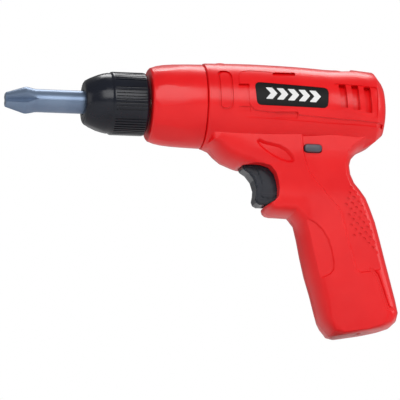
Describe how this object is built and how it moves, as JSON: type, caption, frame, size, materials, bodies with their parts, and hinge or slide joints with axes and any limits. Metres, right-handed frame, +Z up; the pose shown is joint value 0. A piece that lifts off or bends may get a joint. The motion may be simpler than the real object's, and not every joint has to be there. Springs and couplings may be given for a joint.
{
  "type": "toy power drill",
  "caption": "Pistol-grip toy power drill with a turning chuck, pull-out cross bit, spring trigger, side direction button and hinged battery door.",
  "frame": {"origin": "centre of the flat tip of the screwdriver bit, on the spindle axis", "axes": "+X back along the spindle from the tip, +Y to the drill's right side, +Z up, with the grip hanging towards -Z"},
  "size_m": [0.2465, 0.055, 0.1741],
  "materials": {
    "red_plastic": "moulded, glossy",
    "black_plastic": "moulded, satin to glossy",
    "grey_plastic": "moulded, satin",
    "bit_plastic": "plastic with metallic blue-grey paint",
    "white_plastic": "natural acetal",
    "steel": "plain",
    "brass": "turned",
    "copper": "phosphor-bronze strip",
    "board": "circuit board",
    "cell": "printed sleeve, plain",
    "lead_red": "PVC",
    "lead_black": "PVC",
    "label": "black with plain white marks"
  },
  "bodies": {
    "body": {"left_housing": "red_plastic", "right_housing": "red_plastic", "nose_collar": "red_plastic", "nose_bush": "brass", "spindle_bush": "brass", "gearbox_front_plate": "black_plastic", "gearbox_rear_frame": "black_plastic", "direction_switch": "black_plastic", "battery_tray": "black_plastic", "motor_end_cap": "white_plastic", "idler_axle": "steel", "motor_can": "steel", "trigger_spring": "steel", "contact_top_link": "steel", "contact_bottom_link": "steel", "positive_terminal": "steel", "negative_terminal": "steel", "switch_board": "board", "switch_leaf": "copper", "fixed_contact": "copper", "label_plate_left": "label", "label_plate_right": "label", "motor_lead_red": "lead_red", "battery_lead_red": "lead_red", "motor_lead_black": "lead_black", "battery_lead_black": "lead_black", "gearbox_screw_1": "steel", "battery_1": "cell", "battery_spring_1": "steel", "gearbox_screw_2": "steel", "battery_2": "cell", "battery_spring_2": "steel", "gearbox_screw_3": "steel", "battery_3": "cell", "battery_spring_3": "steel", "housing_screw_1": "steel", "housing_screw_2": "steel", "housing_screw_3": "steel", "housing_screw_4": "steel", "housing_screw_5": "steel", "housing_screw_6": "steel", "housing_screw_7": "steel"},
    "chuck": {"chuck_sleeve": "black_plastic", "chuck_screw": "steel", "output_spindle": "steel", "output_gear": "white_plastic"},
    "bit": {"screwdriver_bit": "bit_plastic"},
    "idler": {"compound_gear": "white_plastic"},
    "motor_rotor": {"motor_shaft": "steel", "motor_pinion": "brass"},
    "trigger": {"trigger": "black_plastic"},
    "direction": {"direction_bar": "grey_plastic"},
    "door": {"battery_door": "red_plastic", "battery_door_screw": "steel"}
  },
  "joints": [
    {"name": "chuck_spin", "type": "hinge", "parent": "body", "child": "chuck", "pos_m": [0.1, 0, 0], "axis": [1, 0, 0], "continuous": true},
    {"name": "bit_pull", "type": "slide", "parent": "chuck", "child": "bit", "axis": [-1, 0, 0], "range_m": [0, 0.024]},
    {"name": "idler_spin", "type": "hinge", "parent": "body", "child": "idler", "pos_m": [0.14, 0, 0.0138], "axis": [1, 0, 0], "continuous": true},
    {"name": "motor_spin", "type": "hinge", "parent": "body", "child": "motor_rotor", "pos_m": [0.145, 0, 0.0024], "axis": [1, 0, 0], "continuous": true},
    {"name": "trigger_pull", "type": "slide", "parent": "body", "child": "trigger", "axis": [1, 0, 0], "range_m": [0, 0.005], "stiffness_N_per_m": 250, "springref_m": -0.002, "deforming": ["trigger_spring"]},
    {"name": "direction_push", "type": "slide", "parent": "body", "child": "direction", "axis": [0, 1, 0], "range_m": [0, 0.003]},
    {"name": "door_swing", "type": "hinge", "parent": "body", "child": "door", "pos_m": [0.22069, 0.016, -0.12995], "axis": [-0.9703, 0, -0.2419], "range_deg": [0, 75]}
  ],
  "couplings": [
    {"joint": "idler_spin", "follows": "chuck_spin", "ratio": -3.6},
    {"joint": "motor_spin", "follows": "chuck_spin", "ratio": 10.08}
  ]
}
